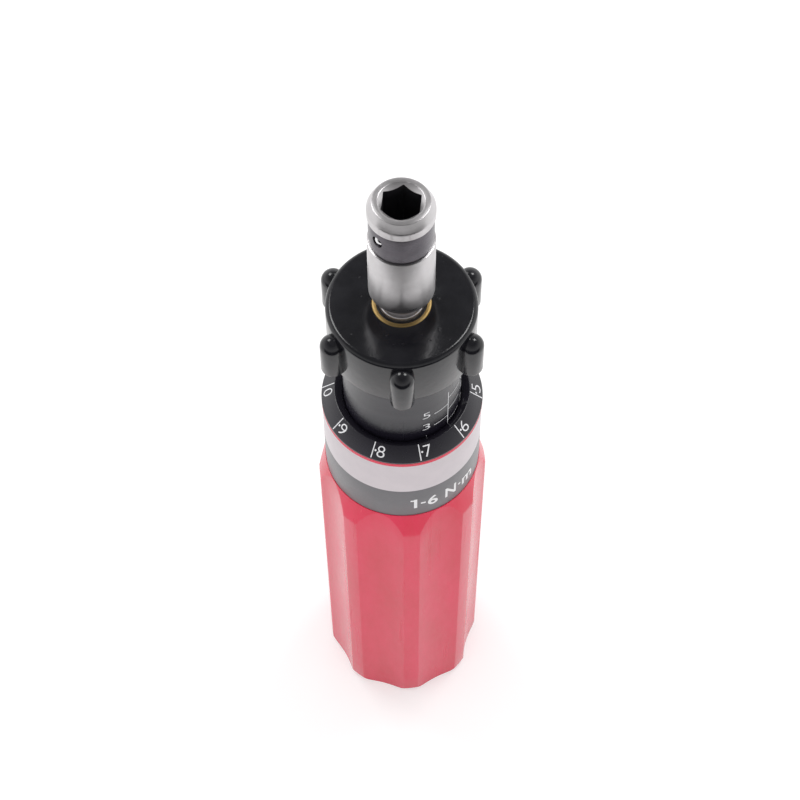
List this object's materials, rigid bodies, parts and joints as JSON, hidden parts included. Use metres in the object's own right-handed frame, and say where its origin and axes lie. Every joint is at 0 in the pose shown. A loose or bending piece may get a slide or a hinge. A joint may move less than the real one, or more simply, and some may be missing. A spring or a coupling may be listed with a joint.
{
  "type": "torque screwdriver",
  "caption": "Adjustable torque screwdriver with a fluted red handle, a lugged setting knob over a scale barrel and dial, and a hex bit socket.",
  "frame": {"origin": "centre of the handle's end face, on the tool's axis", "axes": "+Z along the axis from the handle's end to the bit socket; -Y is the side where the range text and the scale face"},
  "size_m": [0.0336, 0.0336, 0.164],
  "materials": {
    "red_plastic": "polished",
    "label_paper": "satin",
    "black_anodised": "black anodised",
    "black_plastic": "polished",
    "turned_steel": "fine turned",
    "blued_steel": "blued",
    "chrome_ball": "polished",
    "spring_steel": "oiled",
    "bronze": "turned",
    "rubber_black": "matte",
    "zinc_screw": "zinc plated"
  },
  "bodies": {
    "handle_body": {"handle": "red_plastic", "range_label": "label_paper", "end_cap": "red_plastic", "handle_screw": "zinc_screw", "body_tube": "turned_steel", "rear_plug": "turned_steel", "plug_lock_screw": "spring_steel", "rear_bush": "bronze", "lower_thrust_washer": "bronze", "dial_ring": "black_anodised", "torque_spring": "spring_steel"},
    "spindle": {"drive_spindle": "turned_steel", "clutch_cam": "turned_steel", "cam_pin": "turned_steel", "bit_retaining_band": "blued_steel"},
    "bit_ball": {"bit_retaining_ball": "chrome_ball"},
    "clutch_plate": {"pressure_plate": "turned_steel", "clutch_balls": "chrome_ball"},
    "seat": {"spring_seat": "turned_steel", "thrust_balls": "chrome_ball", "thrust_cage": "bronze"},
    "adjuster": {"adjuster_knob": "black_plastic", "scale_barrel": "black_anodised", "front_bush": "bronze", "shaft_seal": "rubber_black", "knob_pins": "turned_steel", "thrust_race": "turned_steel", "friction_ring": "rubber_black"}
  },
  "joints": [
    {"name": "clutch_slip", "type": "hinge", "parent": "handle_body", "child": "spindle", "pos_m": [0, 0, 0], "axis": [0, 0, 1], "continuous": true},
    {"name": "ball_retreat", "type": "slide", "parent": "spindle", "child": "bit_ball", "axis": [-0.7254, -0.6884, 0], "range_m": [0, 0.00025], "stiffness_N_per_m": 200, "springref_m": -0.0005},
    {"name": "clutch_lift", "type": "slide", "parent": "handle_body", "child": "clutch_plate", "axis": [0, 0, 1], "range_m": [0, 0.0009], "stiffness_N_per_m": 500, "springref_m": -0.004},
    {"name": "adjuster_travel", "type": "slide", "parent": "handle_body", "child": "seat", "axis": [0, 0, 1], "range_m": [-0.0068, 0.0032], "deforming": ["torque_spring"]},
    {"name": "adjuster_turn", "type": "hinge", "parent": "seat", "child": "adjuster", "pos_m": [0, 0, 0], "axis": [0, 0, 1], "range_deg": [-1224.2, 576.2]}
  ],
  "couplings": [
    {"joint": "adjuster_turn", "follows": "adjuster_travel", "rad_per_m": 3141.6}
  ]
}
